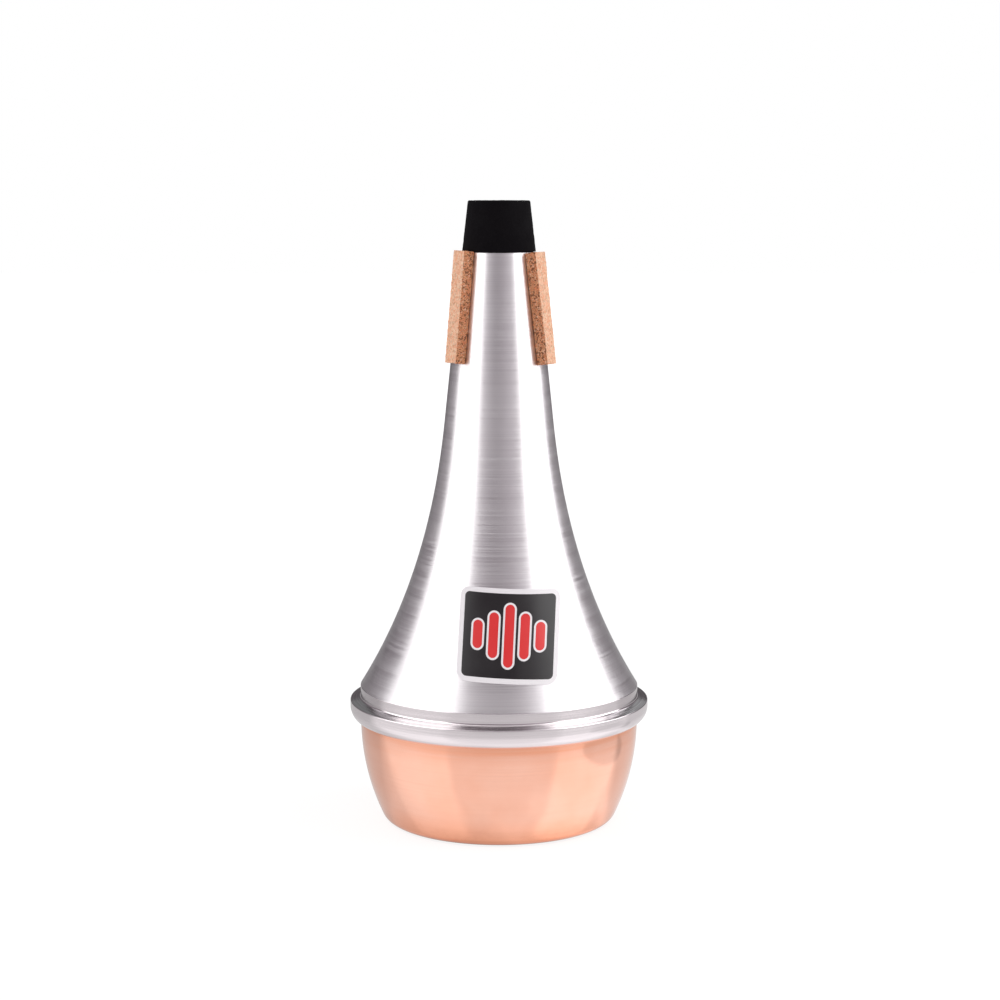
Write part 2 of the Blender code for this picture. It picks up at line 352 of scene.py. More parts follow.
bowl_inside = rounded(thickened(bowl_corners(), BOWL_WALL))
bowl_inside[-1].x = 0.0
bowl = turned("spun_bowl", bowl_inside[::-1] + rounded(bowl_corners()))

# %% [markdown]
# ## The end sleeve
#
# The narrow end is a black sleeve that goes on from the taper of the cone, with a spigot that is glued
# into the throat. Its rounded top edge is a little uneven, as on a piece that has been rubbed in a case.
# The mesh gets rows close together up its side, and a displacement by a tenth of a millimetre or two
# then breaks its outline. It only sinks, so the sleeve never grows.

# %% End sleeve
SLEEVE_LENGTH = 0.0221
SLEEVE_NARROWING = 0.0025
SLEEVE_WALL = 0.0020
SLEEVE_EDGE_ROUND = 0.0009
SPIGOT_LENGTH = 0.0080
SPIGOT_WALL = 0.0014
SLEEVE_ROWS = 44
SLEEVE_RUB_DEPTH = 0.00022
SLEEVE_RUB_SCALE = 0.0016


def sleeve_outline():
    """The whole section, from the tip down the outer face and up the bore."""
    tip_height = THROAT_HEIGHT + SLEEVE_LENGTH
    tip_radius = THROAT_RADIUS - SLEEVE_NARROWING
    foot = THROAT_HEIGHT + SEAT_GAP
    foot_radius = THROAT_RADIUS - SLEEVE_NARROWING / SLEEVE_LENGTH * SEAT_GAP
    wall_across = (CONE_WALL + SEAT_GAP) * math.hypot(1.0, TAPER_SLOPE)
    spigot_top = THROAT_RADIUS - wall_across - TAPER_SLOPE * SEAT_GAP
    spigot_foot = THROAT_RADIUS - wall_across + TAPER_SLOPE * SPIGOT_LENGTH
    spigot_height = THROAT_HEIGHT - SPIGOT_LENGTH
    low_corners = [
        Vector((foot_radius, foot)),
        Vector((spigot_top, foot)),
        Vector((spigot_foot, spigot_height)),
        Vector((spigot_foot - SPIGOT_WALL, spigot_height)),
        Vector((spigot_top - SPIGOT_WALL, foot)),
    ]
    outer_edge = (Vector((tip_radius, tip_height)), SLEEVE_EDGE_ROUND)
    bore_edge = (Vector((tip_radius - SLEEVE_WALL, tip_height)), SLEEVE_EDGE_ROUND)
    points = rounded([outer_edge] + sharp(low_corners) + [bore_edge], closed=True)
    top, bottom = points[ROUND_STEPS], points[ROUND_STEPS + 1]
    rows = [top.lerp(bottom, i / SLEEVE_ROWS) for i in range(1, SLEEVE_ROWS)]
    return points[: ROUND_STEPS + 1] + rows + points[ROUND_STEPS + 1 :]


sleeve_points = sleeve_outline()
sleeve = turned("moulded_sleeve", sleeve_points + sleeve_points[:1])
rub = sink_by_noise(sleeve, "rubbed edge", "CLOUDS", SLEEVE_RUB_SCALE, SLEEVE_RUB_DEPTH)
rub.noise_depth = 3
apply_modifiers(sleeve)

# %% [markdown]
# ## The cork strips
#
# Each strip is cut from a sheet of pressed cork, with square sides, a flat outer face and ends sawn
# across. It is glued along the taper, hollowed beneath so that it sits on the round of the cone. None is
# placed to a template: one stands almost straight, one leans. So each strip is made at the front, cut to
# the cone by a boolean, and then turned and twisted into its own place.
#
# Cork never has a clean edge. A voxel remesh gives even, small faces all over, and two displacements
# take some away: a coarse one that wears the edges, and a fine one that picks grains out of the faces.

# %% Cork strip, upright at the front
CORK_WIDTH = 0.0082
CORK_THICKNESS = 0.0047
CORK_LENGTH = 0.0482
CORK_CUTS = 7
CUTTER_OVERLAP = 0.002
CUTTER_BELOW_THROAT = 0.060
CUTTER_ABOVE_THROAT = 0.010
GLUE_LINE = 0.00006
CORK_VOXEL = 0.00027
TAPER_TILT = math.atan(TAPER_SLOPE)


def cork_blank(name, rise):
    """A square strip that lies along the taper at the front, sunk a little way into the cone."""
    bpy.ops.mesh.primitive_cube_add(size=1.0)
    strip = start_piece(name)
    depth = CORK_THICKNESS + CUTTER_OVERLAP
    bpy.ops.object.mode_set(mode="EDIT")
    bpy.ops.transform.resize(value=(CORK_WIDTH, depth, CORK_LENGTH))
    bpy.ops.mesh.subdivide(number_cuts=CORK_CUTS)
    bpy.ops.object.mode_set(mode="OBJECT")
    down = Vector((0.0, -math.sin(TAPER_TILT), -math.cos(TAPER_TILT)))
    out = Vector((0.0, -math.cos(TAPER_TILT), math.sin(TAPER_TILT)))
    throat = Vector((0.0, -THROAT_RADIUS, THROAT_HEIGHT))
    middle = throat + (CORK_LENGTH / 2.0 - rise) * down
    strip.location = middle + (SEAT_GAP + CORK_THICKNESS - depth / 2.0) * out
    strip.rotation_euler.x = -TAPER_TILT
    bpy.ops.object.transform_apply()
    return strip


def hollow_for_cone(strip):
    """Cut the strip with the cone's own taper, grown by the gap that the glue fills."""
    low, high = THROAT_HEIGHT - CUTTER_BELOW_THROAT, THROAT_HEIGHT + CUTTER_ABOVE_THROAT
    grown = THROAT_RADIUS + GLUE_LINE / math.cos(TAPER_TILT)
    bpy.ops.mesh.primitive_cone_add(
        vertices=RING_STEPS,
        radius1=grown + TAPER_SLOPE * (THROAT_HEIGHT - low),
        radius2=grown + TAPER_SLOPE * (THROAT_HEIGHT - high),
        depth=high - low,
        location=(0.0, 0.0, (low + high) / 2.0),
    )
    cutter = bpy.context.object
    cut = strip.modifiers.new("Hollow", "BOOLEAN")
    cut.operation = "DIFFERENCE"
    cut.solver = "EXACT"
    cut.object = cutter
    apply_modifiers(strip)
    bpy.data.objects.remove(cutter)


# %% Cork strips in their places
CORK_PLACES = {
    "cork_strip_left": {"turn_deg": -54.2, "lean_deg": 1.0, "rise": 0.0006},
    "cork_strip_right": {"turn_deg": 59.4, "lean_deg": 4.5, "rise": 0.0},
    "cork_strip_back": {"turn_deg": 180.0, "lean_deg": 0.0, "rise": 0.0003},
}
CORK_PASSES = (("worn edges", "CLOUDS", 0.0026, 0.00015), ("lost grains", "VORONOI", 0.0009, 0.00012))


def twist_and_turn(strip, turn_deg, lean_deg):
    """Lean the strip by a twist round the mute's axis, then turn it to its direction."""
    heights = [v.co.z for v in strip.data.vertices]
    middle = (max(heights) + min(heights)) / 2.0
    span = max(heights) - min(heights)
    if lean_deg:
        lean = strip.modifiers.new("Lean", "SIMPLE_DEFORM")
        lean.deform_method = "TWIST"
        lean.deform_axis = "Z"
        lean.angle = -math.radians(lean_deg)
        apply_modifiers(strip)
    already = -lean_deg * middle / span
    strip.rotation_euler.z = math.radians(turn_deg - already)
    bpy.ops.object.transform_apply()


def crumble(strip):
    """Small even faces, then worn edges and lost grains."""
    remesh = strip.modifiers.new("Grain", "REMESH")
    remesh.mode = "VOXEL"
    remesh.voxel_size = CORK_VOXEL
    remesh.use_smooth_shade = True
    for one_pass in CORK_PASSES:
        sink_by_noise(strip, *one_pass)
    apply_modifiers(strip)


corks = {}
for name, place in CORK_PLACES.items():
    strip = cork_blank(name.replace("strip", "sanded"), place["rise"])
    hollow_for_cone(strip)
    twist_and_turn(strip, place["turn_deg"], place["lean_deg"])
    crumble(strip)
    corks[name] = strip
    low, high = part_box(name)
    mine = [v.co for v in strip.data.vertices]
    ends = ((min, low), (max, high))
    off = [round(1000 * (end(c[i] for c in mine) - edge[i]), 2) for end, edge in ends for i in range(3)]
    print(strip.name, len(strip.data.polygons), "faces, off its CAD box by mm:", off)

# %% [markdown]
# ## The label
#
# A thin printed label is stuck on the front of the flare, a few degrees off level. It is a flat sheet
# until it is laid on the metal, so it is made flat: a plane, its corners bevelled, sliced into narrow
# strips both ways so that it can bend. The UV map keeps its flat layout, in shares of its width and
# height. Then it is projected onto the cone, and given the thickness of vinyl. Its print is this file's
# own: a set of bars, like the pipes of an organ.

# %% Label
LABEL_WIDTH = 0.0425
LABEL_HEIGHT = 0.0375
LABEL_CORNER = 0.0040
LABEL_CORNER_STEPS = 8
LABEL_SLICE = 0.0012
LABEL_MIDDLE = Vector((0.0042, -0.0800, 0.0901))
LABEL_TILT_DEG = 3.0
LABEL_LIFT = 0.00006
LABEL_THICKNESS = 0.00012


def slice_mesh(direction, reach):
    """Cut the whole mesh by parallel planes, a slice apart."""
    cuts = int(2.0 * reach / LABEL_SLICE)
    for i in range(1, cuts):
        place = -reach + 2.0 * reach * i / cuts
        bpy.ops.mesh.select_all(action="SELECT")
        bpy.ops.mesh.bisect(plane_co=direction * place, plane_no=direction)


bpy.ops.mesh.primitive_plane_add(size=1.0)
label = start_piece("front_label")
bpy.ops.object.mode_set(mode="EDIT")
bpy.ops.transform.resize(value=(LABEL_WIDTH, LABEL_HEIGHT, 1.0))
bpy.ops.mesh.bevel(offset=LABEL_CORNER, segments=LABEL_CORNER_STEPS, affect="VERTICES")
slice_mesh(Vector((1.0, 0.0, 0.0)), LABEL_WIDTH / 2.0)
slice_mesh(Vector((0.0, 1.0, 0.0)), LABEL_HEIGHT / 2.0)
bpy.ops.object.mode_set(mode="OBJECT")
uv = label.data.uv_layers.active.data
for loop in label.data.loops:
    flat = label.data.vertices[loop.vertex_index].co
    uv[loop.index].uv = (flat.x / LABEL_WIDTH + 0.5, flat.y / LABEL_HEIGHT + 0.5)
label.rotation_euler = (math.radians(90.0), math.radians(LABEL_TILT_DEG), 0.0)
label.location = LABEL_MIDDLE
bpy.ops.object.transform_apply()

wrap = label.modifiers.new("Laid on", "SHRINKWRAP")
wrap.wrap_method = "PROJECT"
wrap.use_project_y = True
wrap.target = cone
wrap.offset = LABEL_LIFT
sheet = label.modifiers.new("Vinyl", "SOLIDIFY")
sheet.thickness = LABEL_THICKNESS
sheet.offset = 1.0
apply_modifiers(label)
finish_faces()
depths = [round(1000 * v.co.y, 1) for v in label.data.vertices]
print("label lies between y", min(depths), "and", max(depths), "mm")

# %% [markdown]
# ## Building node trees
#
# Every finish below is a small network of nodes. These helpers keep that short: the first ones add a
# node and plug its inputs, and the others are steps that every finish takes. Effects that more than one
# finish uses are node groups with named inputs, so that each material can ask for its own amount.


# %% Node helpers
def plug(tree, socket, value):
    """Link an output, or the first output of a node, to an input. Set it to anything else."""
    if isinstance(value, bpy.types.Node):
        value = value.outputs[0]
    if isinstance(value, bpy.types.NodeSocket):
        tree.links.new(value, socket)
    else:
        socket.default_value = value


def fill(tree, node, **inputs):
    """Plug the named inputs of a node."""
    for name, value in inputs.items():
        plug(tree, node.inputs[name.replace("_", " ")], value)
    return node


def add(tree, kind, settings=None, **inputs):
    """Add a node, set its options and plug its inputs."""
    made = tree.nodes.new(kind)
    for name, value in (settings or {}).items():
        setattr(made, name, value)
    return fill(tree, made, **inputs)


def add_by_place(tree, kind, settings, places, values):
    """Add a node whose inputs have no names of their own. Returns its outputs."""
    made = add(tree, kind, settings)
    for place, value in zip(places, values):
        plug(tree, made.inputs[place], value)
    return made.outputs


def math_node(tree, operation, *values):
    """One step of arithmetic on numbers."""
    return add_by_place(tree, "ShaderNodeMath", {"operation": operation}, range(3), values)[0]


def vector_node(tree, operation, *values, output="Vector"):
    """One step of arithmetic on vectors."""
    settings = {"operation": operation}
    return add_by_place(tree, "ShaderNodeVectorMath", settings, range(3), values)[output]


def minus(tree, first, second):
    """One number less another."""
    return math_node(tree, "SUBTRACT", first, second)


def times(tree, product, *others):
    """The product of two numbers or more."""
    for other in others:
        product = math_node(tree, "MULTIPLY", product, other)
    return product


def long_side(tree, *sides):
    """The long side of a right-angled triangle, from its two short ones."""
    squares = [math_node(tree, "POWER", side, 2.0) for side in sides]
    return math_node(tree, "SQRT", math_node(tree, "ADD", *squares))


def spread(tree, value, low, high, to_low=0.0, to_high=1.0):
    """Stretch a value from one range to another, and hold it at the ends."""
    ends = {"From_Min": low, "From_Max": high, "To_Min": to_low, "To_Max": to_high}
    return add(tree, "ShaderNodeMapRange", {"clamp": True}, Value=value, **ends).outputs["Result"]


def between(tree, share, at_none, at_full):
    """The number that lies a share of the way from one number to another."""
    return spread(tree, share, 0.0, 1.0, at_none, at_full)


def mix_numbers(tree, *values):
    """Mix two numbers by a share, which comes first."""
    return add_by_place(tree, "ShaderNodeMix", {"data_type": "FLOAT"}, (0, 2, 3), values)[0]


def mix_colours(tree, *values, blend="MIX"):
    """Mix two colours by a share, which comes first."""
    settings = {"data_type": "RGBA", "blend_type": blend}
    return add_by_place(tree, "ShaderNodeMix", settings, (0, 6, 7), values)[2]


def tinted(tree, colour, tint, share=1.0):
    """A colour multiplied by a tint, all of the way or a share of it."""
    return mix_colours(tree, share, colour, tint, blend="MULTIPLY")


def point_parts(tree, coordinates="Object"):
    """The three parts of the point's place, or of another of its coordinates."""
    place = add(tree, "ShaderNodeTexCoord").outputs[coordinates]
    return add(tree, "ShaderNodeSeparateXYZ", Vector=place).outputs


def bumped(tree, height, distance):
    """The normal of a surface with a relief."""
    return add(tree, "ShaderNodeBump", Height=height, Distance=distance)


def new_group(name, inputs, outputs):
    """A node group, what it is asked for, and the node that takes what it gives."""
    group = bpy.data.node_groups.new(name, "ShaderNodeTree")
    for way, names in (("INPUT", inputs), ("OUTPUT", outputs)):
        for socket in names:
            group.interface.new_socket(socket, in_out=way, socket_type="NodeSocketFloat")
    print("Group:", name)
    return group, group.nodes.new("NodeGroupInput").outputs, group.nodes.new("NodeGroupOutput")


def use_group(tree, group, **values):
    """Place a group in a material with its own values."""
    return add(tree, "ShaderNodeGroup", {"node_tree": group}, **values)


def new_finish(name):
    """A material with its Principled shader."""
    made = bpy.data.materials.new(name)
    made.use_nodes = True
    print("Finish:", name)
    return made, made.node_tree, made.node_tree.nodes["Principled BSDF"]


def grey(value):
    """A grey as a colour."""
    return (value, value, value, 1.0)


# %% [markdown]
# ## Lines left by the lathe
#
# Both metals were finished while they turned, so both carry fine lines round the axis. The group makes
# them from noise that changes fast across the piece and slowly along the cut. "Across" must work on an
# upright face and on a flat one, so it is the height plus or minus the radius: the cone narrows as it
# rises, the bowl widens, and the sign is the group's first input. The same noise, stretched less, gives
# broad bands.

# %% Group for lathe lines
BANDS_SHARE = 0.22
LINE_INPUTS = ["Radius Sign", "Lines Per Metre", "Run"]

lathe_lines, asked, given = new_group("lathe lines", LINE_INPUTS, ["Fine", "Bands"])
tree = lathe_lines
x, y, z = point_parts(tree)
signed = times(tree, long_side(tree, x, y), asked["Radius Sign"])
across = times(tree, math_node(tree, "ADD", signed, z), asked["Lines Per Metre"])
along = {name: times(tree, part, asked["Run"]) for name, part in (("X", x), ("Y", y))}
for output, share in (("Fine", 1.0), ("Bands", BANDS_SHARE)):
    stretched = add(tree, "ShaderNodeCombineXYZ", Z=times(tree, across, share), **along)
    noise = add(tree, "ShaderNodeTexNoise", Vector=stretched, Scale=1.0, Detail=2.0, Roughness=0.6)
    fill(tree, given, **{output: noise})

# %% [markdown]
# ## Specks and clouds
#
# Two more groups serve several finishes. Specks are round dots scattered at random: pale dust on the
# sleeve and a few pits in the aluminium. A Voronoi texture gives each dot its cell, and a random number
# of the cell decides whether that cell has a dot at all. Clouds are slow changes of tone, such as the
# stains of a copper that has been handled. Made small, they are the grain of rubber and cork. Noise
# seldom leaves the middle of its range, so most finishes stretch that middle.

# %% Groups for specks and clouds
NOISE_MIDDLE = (0.3, 0.7)

specks, asked, given = new_group("specks", ["Per Metre", "Share", "Size"], ["Mask"])
place = add(specks, "ShaderNodeTexCoord").outputs["Object"]
cells = add(specks, "ShaderNodeTexVoronoi", Vector=place, Scale=asked["Per Metre"], Randomness=1.0)
chance = add(specks, "ShaderNodeSeparateColor", Color=cells.outputs["Color"])
is_dot = math_node(specks, "LESS_THAN", chance, asked["Share"])
near = math_node(specks, "LESS_THAN", cells.outputs["Distance"], asked["Size"])
fill(specks, given, Mask=times(specks, is_dot, near))

clouds, asked, given = new_group("clouds", ["Per Metre", "Detail"], ["Tone"])
place = add(clouds, "ShaderNodeTexCoord").outputs["Object"]
noise = add(clouds, "ShaderNodeTexNoise", Vector=place, Detail=asked["Detail"], Roughness=0.55)
fill(clouds, noise, Scale=asked["Per Metre"])
fill(clouds, given, Tone=noise)

# %% [markdown]
# ## Brushed aluminium
#
# The cone was brushed as it turned. Such metal mirrors the room sharply sideways and smears it up and
# down, across the lines. Anisotropy does that: the tangent follows the axis round, and a quarter turn
# sends the long side of each highlight up the cone. The lines show most where a bright reflection ends,
# because each line is a little rougher or smoother than the next, so they drive the roughness first and
# the bump only a little.
#
# Below the shoulder nobody brushes: the band, the flange and the roll keep the gloss and the fine
# grooves of the lathe tool, so there the roughness falls and the bump grows. The band's colour is
# painted darker at its two sides, as painted shade. The flange alone faces up, which tells it from the
# rest: it is the glossiest part, and the dark rings of the tool on it also darken it as painted shade.

# %% Aluminium
ALUMINIUM_LIGHT = (0.90, 0.868, 0.885, 1.0)
ALUMINIUM_DARK = (0.82, 0.788, 0.805, 1.0)
RIM_TINT = (0.920, 0.878, 0.888, 1.0)
# Painted shade: the band's colour is darker at its two sides.
BAND_SIDE_SHADE_TINT = (0.74, 0.73, 0.735, 1.0)
BAND_SHADE_SIDES = (0.040, 0.057)
FLANGE_TINT = (0.98, 1.045, 1.02, 1.0)
FLANGE_FACES_UP = (0.80, 0.90)
# Dark tool rings on the flange, which also darken the whole flange as painted shade.
RING_AND_SHADE_TINT = (0.67, 0.675, 0.67, 1.0)
RING_NOISE = (0.42, 0.58)
RING_SHARE = (0.1, 1.0)
FINISH_BLEND = 0.0004
BRUSHED_ROUGHNESS = (0.28, 0.48)
RIM_ROUGHNESS = (0.13, 0.21)
FLANGE_ROUGHNESS_SHARE = 0.7
BRUSH_SHARE = 0.08
GROOVE_SHARE = 0.18
GROOVE_DEPTH = 0.000080

aluminium, tree, shader = new_finish("brushed aluminium")
lines = use_group(tree, lathe_lines, Radius_Sign=-1.0, Lines_Per_Metre=2200.0, Run=13.0)
rings = use_group(tree, lathe_lines, Radius_Sign=-1.0, Lines_Per_Metre=2600.0, Run=3.0)
pits = use_group(tree, specks, Per_Metre=210.0, Share=0.03, Size=0.05)
fine = lines.outputs["Fine"]
x, _, z = point_parts(tree)
_, _, faces_up = point_parts(tree, "Normal")
brushed = spread(tree, z, SHOULDER_HEIGHT - FINISH_BLEND, SHOULDER_HEIGHT + FINISH_BLEND)
on_flange = spread(tree, faces_up, *FLANGE_FACES_UP)
above_flange = spread(tree, z, BAND_FOOT_HEIGHT + FINISH_BLEND, BAND_FOOT_HEIGHT + 2.0 * FINISH_BLEND)
band_shade_at_sides = spread(tree, math_node(tree, "ABSOLUTE", x), *BAND_SHADE_SIDES)

tone = mix_colours(tree, spread(tree, fine, *NOISE_MIDDLE), ALUMINIUM_DARK, ALUMINIUM_LIGHT)
pitted = mix_colours(tree, pits, tone, grey(0.55))
turned_tone = tinted(tree, pitted, RIM_TINT)
# Rings of the tool on the flange, partly painted shade.
ring_and_shade_share = spread(tree, rings.outputs["Fine"], *RING_NOISE, *RING_SHARE)
ringed_and_shaded_tone = tinted(tree, tinted(tree, turned_tone, FLANGE_TINT), RING_AND_SHADE_TINT, ring_and_shade_share)
# The band's two sides take painted shade.
shaded_band_tone = tinted(tree, turned_tone, BAND_SIDE_SHADE_TINT, times(tree, above_flange, band_shade_at_sides))
below = mix_colours(tree, on_flange, shaded_band_tone, ringed_and_shaded_tone)

flank_roughness = spread(tree, fine, *NOISE_MIDDLE, *BRUSHED_ROUGHNESS)
rim_roughness = spread(tree, fine, *NOISE_MIDDLE, *RIM_ROUGHNESS)
turned_roughness = times(tree, rim_roughness, between(tree, on_flange, 1.0, FLANGE_ROUGHNESS_SHARE))
turned_depth = between(tree, on_flange, GROOVE_SHARE, 1.0)
brushed_depth = between(tree, brushed, 1.0, BRUSH_SHARE / GROOVE_SHARE)
round_the_axis = add(tree, "ShaderNodeTangent", {"direction_type": "RADIAL", "axis": "Z"})
fill(
    tree,
    shader,
    Base_Color=mix_colours(tree, brushed, below, pitted),
    Roughness=mix_numbers(tree, brushed, turned_roughness, flank_roughness),
    Normal=bumped(tree, times(tree, fine, turned_depth, brushed_depth), GROOVE_DEPTH),
    Tangent=round_the_axis,
    Metallic=1.0,
    Anisotropic=0.72,
    Anisotropic_Rotation=0.25,
)

# %% [markdown]
# ## Copper
#
# The bowl is polished after spinning, and then handled. It mirrors the floor and the lamps in soft
# patches. Just under the rim its colour is painted darker and warmer in bands, as painted shade under the
# rolled rim, and the same painted shade lies near the foot, where a few stains sit too. The edge that the
# mute stands on is painted dark, as a painted contact shadow. Elsewhere there are only faint lines, and a
# tone that drifts where fingers have dulled it.

# %% Copper
COPPER_BRIGHT = (0.97, 0.540, 0.410, 1.0)
COPPER_DULL = (0.94, 0.485, 0.350, 1.0)
# Painted shade, under the rim and near the foot.
COPPER_SHADE_TONE = (0.97, 0.400, 0.235, 1.0)
COPPER_STAIN = (0.70, 0.30, 0.19, 1.0)
# Painted contact shadow on the edge that the mute stands on.
COPPER_EDGE_SHADE = (0.30, 0.10, 0.06, 1.0)
SOFT_NOISE = (0.35, 0.65)
UNDER_RIM = (0.0375, 0.0445)
UNDER_RIM_SHADE_SHARE = (0.85, 0.15)
NEAR_FOOT = (0.0005, 0.013)
FOOT_SHADE_SHARE = 0.9
SCRATCH_NOISE = (0.52, 0.72)
SCRATCH_SHARE = 0.07
STAIN_NOISE = (0.48, 0.66)
STAIN_SHARE = 0.25
EDGE_SHADE_HEIGHTS = (0.0004, 0.0012)
EDGE_SHADE_SHARE = 0.85
DULLED_NOISE = (0.15, 0.4)
COPPER_ROUGHNESS = (0.09, 0.16)
SCRATCH_DEPTH = 0.000005

copper, tree, shader = new_finish("spun copper")
lines = use_group(tree, lathe_lines, Radius_Sign=1.0, Lines_Per_Metre=1600.0, Run=12.0)
handled = use_group(tree, clouds, Per_Metre=38.0, Detail=3.0)
spots = use_group(tree, clouds, Per_Metre=160.0, Detail=4.0)
fine = lines.outputs["Fine"]
_, _, z = point_parts(tree)
near_foot = spread(tree, z, *NEAR_FOOT, 1.0, 0.0)
# Painted shade: in bands under the rim, and near the foot.
bands = spread(tree, lines.outputs["Bands"], *SOFT_NOISE, *UNDER_RIM_SHADE_SHARE)
under_rim_shade = times(tree, bands, spread(tree, z, *UNDER_RIM))
painted_shade_share = math_node(tree, "MAXIMUM", under_rim_shade, times(tree, near_foot, FOOT_SHADE_SHARE))
stain_share = times(tree, spread(tree, spots, *STAIN_NOISE, 0.0, STAIN_SHARE), near_foot)
tone = mix_colours(tree, spread(tree, handled, *SOFT_NOISE), COPPER_DULL, COPPER_BRIGHT)
tone = mix_colours(tree, painted_shade_share, tone, COPPER_SHADE_TONE)
tone = mix_colours(tree, spread(tree, fine, *SCRATCH_NOISE, 0.0, SCRATCH_SHARE), tone, COPPER_STAIN)
tone = mix_colours(tree, stain_share, tone, COPPER_STAIN)
# The lowest millimetre takes the painted contact shadow.
tone = mix_colours(tree, spread(tree, z, *EDGE_SHADE_HEIGHTS, EDGE_SHADE_SHARE, 0.0), tone, COPPER_EDGE_SHADE)
roughness = spread(tree, times(tree, handled, fine), *DULLED_NOISE, *COPPER_ROUGHNESS)
scratches = bumped(tree, fine, SCRATCH_DEPTH)
fill(tree, shader, Base_Color=tone, Roughness=roughness, Normal=scratches, Metallic=1.0)

# %% [markdown]
# ## Black sleeve
#
# The sleeve swallows light. It has almost no gloss, a fine grain, and a little pale dust that no studio
# ever gets off such a surface.

# %% Black
BLACK_TONES = ((0.0020, 0.0014, 0.0022, 1.0), (0.0046, 0.0034, 0.0047, 1.0))
BLACK_ROUGHNESS = (0.82, 0.98)
BLACK_GRAIN_DEPTH = 0.00008
DUST_SHARE = 0.6

black, tree, shader = new_finish("matte black")
grain = use_group(tree, clouds, Per_Metre=2400.0, Detail=2.0)
worn = use_group(tree, clouds, Per_Metre=90.0, Detail=2.0)
dust = use_group(tree, specks, Per_Metre=420.0, Share=0.06, Size=0.15)
tone = mix_colours(tree, grain, *BLACK_TONES)
fill(
    tree,
    shader,
    Base_Color=mix_colours(tree, times(tree, dust, DUST_SHARE), tone, grey(0.22)),
    Roughness=spread(tree, worn, *NOISE_MIDDLE, *BLACK_ROUGHNESS),
    Normal=bumped(tree, grain, BLACK_GRAIN_DEPTH),
    Specular_IOR_Level=0.09,
)

# %% [markdown]
# ## Pressed cork
#
# The strips are cut from cork grains pressed together with a binder. The cells of a Voronoi texture are
# the grains, bent a little by noise so that they aren't polygons. The grains differ in tone: some are
# dark bark and some are pale. Dark binder fills the seams between them, and small crumbs of it lie all
# over. The saw leaves the side faces rougher than the sanded outer face, and they are painted darker as
# painted shade, so bark, pale grains, seams and crumbs each have two shares: on a sawn side, and on the
# sanded face. To know which face a point is on, the material compares its normal with the direction away
# from the axis: they agree only on the sanded face.

# %% Cork
CORK_TONES = ((0.95, 0.440, 0.268, 1.0), (1.0, 0.660, 0.455, 1.0))
# Painted shade for the sawn side faces.
SIDE_SHADE_TINT = (0.86, 0.640, 0.500, 1.0)
CORK_BARK = (0.11, 0.036, 0.018, 1.0)
CORK_BINDER = (0.26, 0.095, 0.045, 1.0)
CORK_PALE = (1.0, 0.80, 0.62, 1.0)
SANDED_FACES_OUT = (0.55, 0.85)
CORK_GRAINS = 1500.0
GRAIN_BEND = (0.0007, 0.0007, 0.0007)
BARK_GRAINS_BELOW = 0.17
PALE_GRAINS_ABOVE = 0.84
SEAM_WIDTH = (0.02, 0.12)
CRUMB_NOISE = (0.53, 0.62)
BARK_SHARES = (0.78, 0.20)
PALE_SHARES = (0.30, 0.45)
SEAM_SHARES = (0.60, 0.13)
CRUMB_SHARES = (0.62, 0.18)
SEAM_DEPTH_SHARE = 0.8
CORK_RELIEF = 0.00016
CORK_ROUGHNESS = (0.78, 0.95)

cork, tree, shader = new_finish("pressed cork")
point = add(tree, "ShaderNodeTexCoord").outputs
away = vector_node(tree, "MULTIPLY", point["Object"], (1.0, 1.0, 0.0))
unit = vector_node(tree, "NORMALIZE", away)
facing = vector_node(tree, "DOT_PRODUCT", unit, point["Normal"], output="Value")
sanded = spread(tree, facing, *SANDED_FACES_OUT)

wobble = add(tree, "ShaderNodeTexNoise", Vector=point["Object"], Scale=900.0, Detail=2.0)
bent = vector_node(tree, "MULTIPLY_ADD", wobble.outputs["Color"], GRAIN_BEND, point["Object"])
grains, seams = (
    add(tree, "ShaderNodeTexVoronoi", {"feature": feature}, Vector=bent, Scale=CORK_GRAINS, Randomness=1.0)
    for feature in ("F1", "DISTANCE_TO_EDGE")
)
chance = add(tree, "ShaderNodeSeparateColor", Color=grains.outputs["Color"]).outputs
is_bark = math_node(tree, "LESS_THAN", chance[1], BARK_GRAINS_BELOW)
is_pale = math_node(tree, "GREATER_THAN", chance[2], PALE_GRAINS_ABOVE)
at_seam = spread(tree, seams.outputs["Distance"], *SEAM_WIDTH, 1.0, 0.0)
mottle = use_group(tree, clouds, Per_Metre=2600.0, Detail=4.0)
is_crumb = spread(tree, mottle, *CRUMB_NOISE)

sanded_tone = mix_colours(tree, chance[0], *CORK_TONES)
# The sawn sides take a darker tint as painted shade.
tone = mix_colours(tree, sanded, tinted(tree, sanded_tone, SIDE_SHADE_TINT), sanded_tone)
for where, shares, colour in (
    (is_pale, PALE_SHARES, CORK_PALE),
    (is_bark, BARK_SHARES, CORK_BARK),
    (at_seam, SEAM_SHARES, CORK_BINDER),
    (is_crumb, CRUMB_SHARES, CORK_BINDER),
):
    tone = mix_colours(tree, times(tree, where, between(tree, sanded, *shares)), tone, colour)
pores = use_group(tree, clouds, Per_Metre=1800.0, Detail=3.0)
relief = minus(tree, pores, times(tree, at_seam, SEAM_DEPTH_SHARE))
fill(
    tree,
    shader,
    Base_Color=tone,
    Roughness=spread(tree, pores, *NOISE_MIDDLE, *CORK_ROUGHNESS),
    Normal=bumped(tree, relief, CORK_RELIEF),
    Specular_IOR_Level=0.2,
)

# %% [markdown]
# ## Printed label
#
# The print is worked out from the UV map, in millimetres on the flat sheet. A white edge runs all round,
# a black field fills the rest, and five red bars with white outlines stand on it. Whatever has rounded
# corners is every point closer than a radius to a rectangle. The field is one such shape, and a bar is
# another, whose rectangle is so narrow that it is a line. So one distance serves for the field, the bars
# and their outlines.

